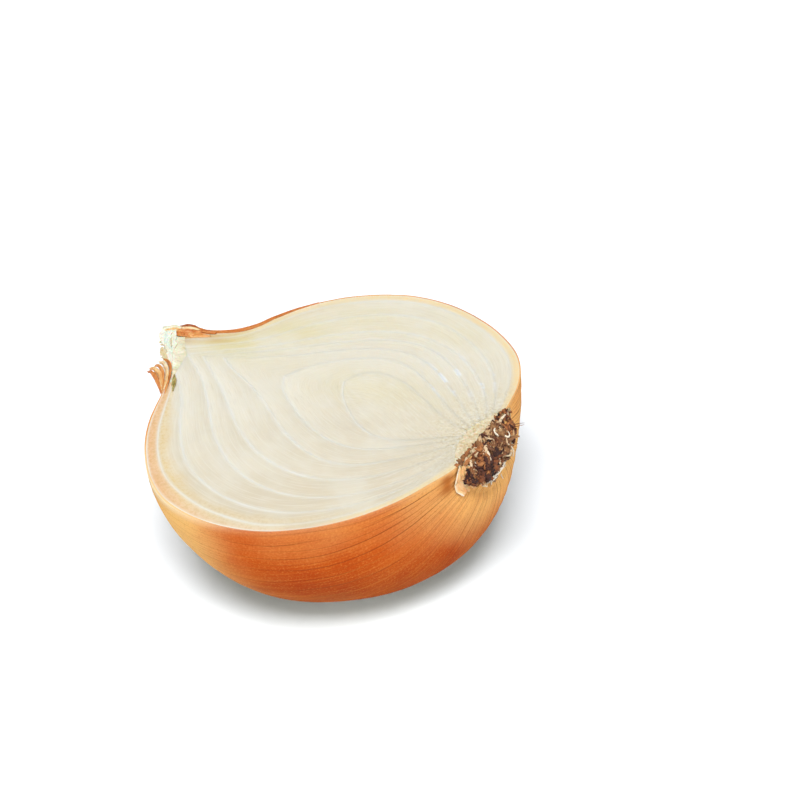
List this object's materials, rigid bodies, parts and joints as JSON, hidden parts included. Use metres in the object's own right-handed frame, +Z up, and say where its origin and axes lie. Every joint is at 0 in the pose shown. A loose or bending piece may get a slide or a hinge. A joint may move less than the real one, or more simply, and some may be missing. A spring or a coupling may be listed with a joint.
{
  "type": "halved onion",
  "caption": "Half of a yellow onion cut from neck to root, nested scales showing on the cut face, dry skin outside, root tuft and dry neck at the ends.",
  "frame": {"origin": "middle of the outline's box, in the plane of the small flat spot that the belly rests on", "axes": "+X from the dry neck to the roots, +Z up towards the cut face, +Y across the cut face"},
  "size_m": [0.0922, 0.0834, 0.0426],
  "materials": {
    "dry_skin": "thin satin dry onion skin, orange tan with fine lengthwise veins",
    "first_scale": "moist cut onion flesh, tinted peach where it is drying",
    "flesh": "moist cut onion flesh, cream white with faint veins",
    "bud": "moist cut onion flesh, slightly greenish",
    "plate": "fibrous cream tissue, dull",
    "roots": "dry crumbly rootlets, matt brown",
    "dry_neck": "dry curled leaf ends, satin orange brown",
    "neck_fibres": "thin frayed leaf fibres, cream"
  },
  "bodies": {
    "root": {"dry_skin": "dry_skin", "scale_1": "first_scale", "scale_2": "flesh", "scale_3": "flesh", "scale_4": "flesh", "scale_5": "flesh", "scale_6": "flesh", "scale_7": "flesh", "core_bud": "bud", "basal_plate": "plate", "root_tuft": "roots", "neck_leaf_far": "dry_neck", "neck_leaf_near": "dry_neck", "neck_fibres": "neck_fibres"}
  },
  "joints": []
}
